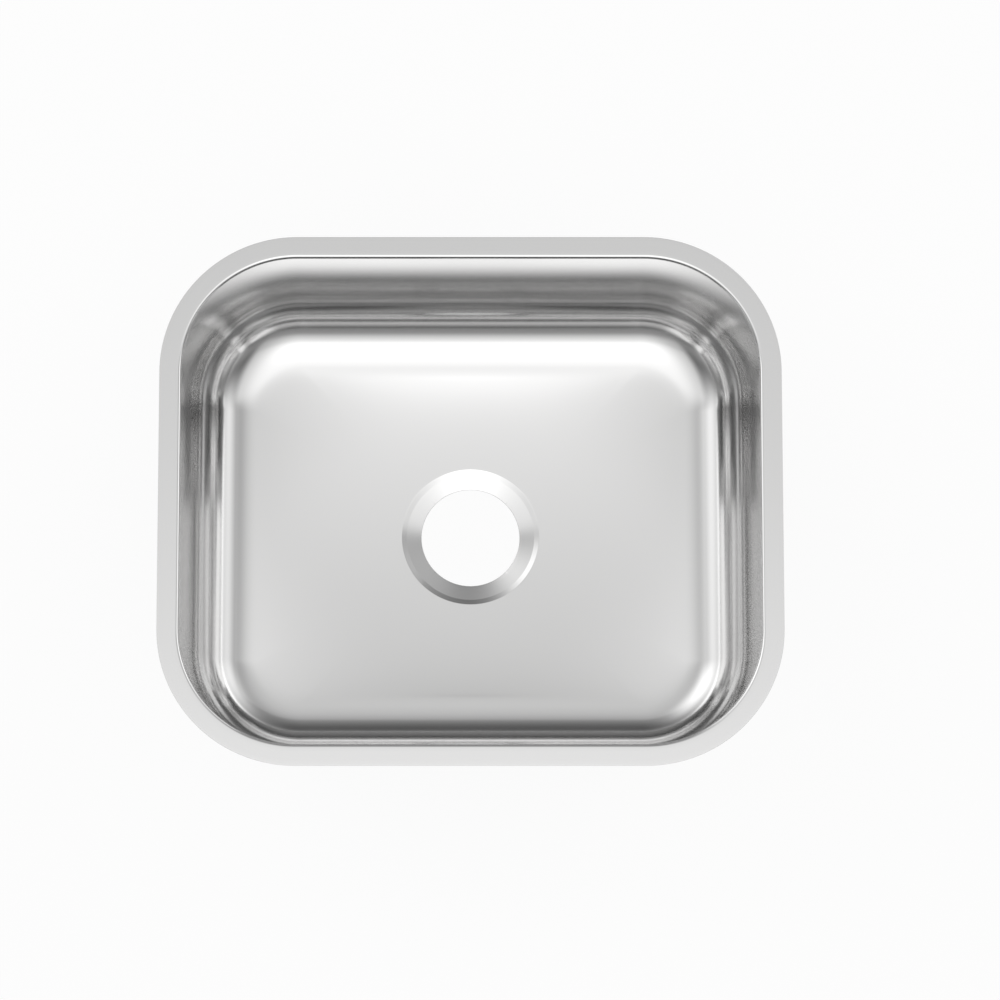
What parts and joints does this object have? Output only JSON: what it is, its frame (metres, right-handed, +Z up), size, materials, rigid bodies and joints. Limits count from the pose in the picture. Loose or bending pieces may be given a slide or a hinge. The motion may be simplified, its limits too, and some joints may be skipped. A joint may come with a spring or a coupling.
{
  "type": "kitchen sink",
  "caption": "Rectangular single-bowl undermount stainless sink with flat rim, rounded corners, stepped drain seat, sound pads and swing-out fixing clips.",
  "frame": {"origin": "under the middle of the base, on the lowest edge of the drain seat", "axes": "+X along the long side, +Y to the back, +Z up"},
  "size_m": [0.43, 0.37, 0.1493],
  "materials": {
    "bowl_steel": "satin",
    "clip_steel": "satin",
    "fastener_steel": "satin",
    "pad_rubber": "matte"
  },
  "bodies": {
    "bowl": {"bowl": "bowl_steel", "base_sound_pad": "pad_rubber", "wall_sound_pad_back": "pad_rubber", "wall_sound_pad_front": "pad_rubber", "wall_sound_pad_left": "pad_rubber", "wall_sound_pad_right": "pad_rubber", "weld_studs": "fastener_steel"},
    "washer_back_left": {"washer_back_left": "fastener_steel"},
    "clip_back_left": {"fixing_clip_back_left": "clip_steel"},
    "nut_back_left": {"nut_back_left": "fastener_steel"},
    "washer_back_right": {"washer_back_right": "fastener_steel"},
    "clip_back_right": {"fixing_clip_back_right": "clip_steel"},
    "nut_back_right": {"nut_back_right": "fastener_steel"},
    "washer_front_left": {"washer_front_left": "fastener_steel"},
    "clip_front_left": {"fixing_clip_front_left": "clip_steel"},
    "nut_front_left": {"nut_front_left": "fastener_steel"},
    "washer_front_right": {"washer_front_right": "fastener_steel"},
    "clip_front_right": {"fixing_clip_front_right": "clip_steel"},
    "nut_front_right": {"nut_front_right": "fastener_steel"},
    "washer_left": {"washer_left": "fastener_steel"},
    "clip_left": {"fixing_clip_left": "clip_steel"},
    "nut_left": {"nut_left": "fastener_steel"},
    "washer_right": {"washer_right": "fastener_steel"},
    "clip_right": {"fixing_clip_right": "clip_steel"},
    "nut_right": {"nut_right": "fastener_steel"}
  },
  "joints": [
    {"name": "washer_slide_back_left", "type": "slide", "parent": "bowl", "child": "washer_back_left", "axis": [0, 0, -1], "range_m": [0, 0.0042]},
    {"name": "clip_swing_back_left", "type": "hinge", "parent": "washer_back_left", "child": "clip_back_left", "pos_m": [-0.09, 0.17869, 0.14825], "axis": [0, 0, 1], "range_deg": [0, 90]},
    {"name": "nut_spin_back_left", "type": "hinge", "parent": "washer_back_left", "child": "nut_back_left", "pos_m": [-0.09, 0.17869, 0.14825], "axis": [0, 0, -1], "range_deg": [0, 2160]},
    {"name": "washer_slide_back_right", "type": "slide", "parent": "bowl", "child": "washer_back_right", "axis": [0, 0, -1], "range_m": [0, 0.0042]},
    {"name": "clip_swing_back_right", "type": "hinge", "parent": "washer_back_right", "child": "clip_back_right", "pos_m": [0.09, 0.17869, 0.14825], "axis": [0, 0, -1], "range_deg": [0, 90]},
    {"name": "nut_spin_back_right", "type": "hinge", "parent": "washer_back_right", "child": "nut_back_right", "pos_m": [0.09, 0.17869, 0.14825], "axis": [0, 0, -1], "range_deg": [0, 2160]},
    {"name": "washer_slide_front_left", "type": "slide", "parent": "bowl", "child": "washer_front_left", "axis": [0, 0, -1], "range_m": [0, 0.0042]},
    {"name": "clip_swing_front_left", "type": "hinge", "parent": "washer_front_left", "child": "clip_front_left", "pos_m": [-0.09, -0.17869, 0.14825], "axis": [0, 0, -1], "range_deg": [0, 90]},
    {"name": "nut_spin_front_left", "type": "hinge", "parent": "washer_front_left", "child": "nut_front_left", "pos_m": [-0.09, -0.17869, 0.14825], "axis": [0, 0, -1], "range_deg": [0, 2160]},
    {"name": "washer_slide_front_right", "type": "slide", "parent": "bowl", "child": "washer_front_right", "axis": [0, 0, -1], "range_m": [0, 0.0042]},
    {"name": "clip_swing_front_right", "type": "hinge", "parent": "washer_front_right", "child": "clip_front_right", "pos_m": [0.09, -0.17869, 0.14825], "axis": [0, 0, 1], "range_deg": [0, 90]},
    {"name": "nut_spin_front_right", "type": "hinge", "parent": "washer_front_right", "child": "nut_front_right", "pos_m": [0.09, -0.17869, 0.14825], "axis": [0, 0, -1], "range_deg": [0, 2160]},
    {"name": "washer_slide_left", "type": "slide", "parent": "bowl", "child": "washer_left", "axis": [0, 0, -1], "range_m": [0, 0.0042]},
    {"name": "clip_swing_left", "type": "hinge", "parent": "washer_left", "child": "clip_left", "pos_m": [-0.20869, 0.018, 0.14825], "axis": [0, 0, -1], "range_deg": [0, 90]},
    {"name": "nut_spin_left", "type": "hinge", "parent": "washer_left", "child": "nut_left", "pos_m": [-0.20869, 0.018, 0.14825], "axis": [0, 0, -1], "range_deg": [0, 2160]},
    {"name": "washer_slide_right", "type": "slide", "parent": "bowl", "child": "washer_right", "axis": [0, 0, -1], "range_m": [0, 0.0042]},
    {"name": "clip_swing_right", "type": "hinge", "parent": "washer_right", "child": "clip_right", "pos_m": [0.20869, -0.018, 0.14825], "axis": [0, 0, -1], "range_deg": [0, 90]},
    {"name": "nut_spin_right", "type": "hinge", "parent": "washer_right", "child": "nut_right", "pos_m": [0.20869, -0.018, 0.14825], "axis": [0, 0, -1], "range_deg": [0, 2160]}
  ],
  "couplings": [
    {"joint": "nut_spin_back_left", "follows": "washer_slide_back_left", "rad_per_m": 8976},
    {"joint": "nut_spin_back_right", "follows": "washer_slide_back_right", "rad_per_m": 8976},
    {"joint": "nut_spin_front_left", "follows": "washer_slide_front_left", "rad_per_m": 8976},
    {"joint": "nut_spin_front_right", "follows": "washer_slide_front_right", "rad_per_m": 8976},
    {"joint": "nut_spin_left", "follows": "washer_slide_left", "rad_per_m": 8976},
    {"joint": "nut_spin_right", "follows": "washer_slide_right", "rad_per_m": 8976}
  ]
}
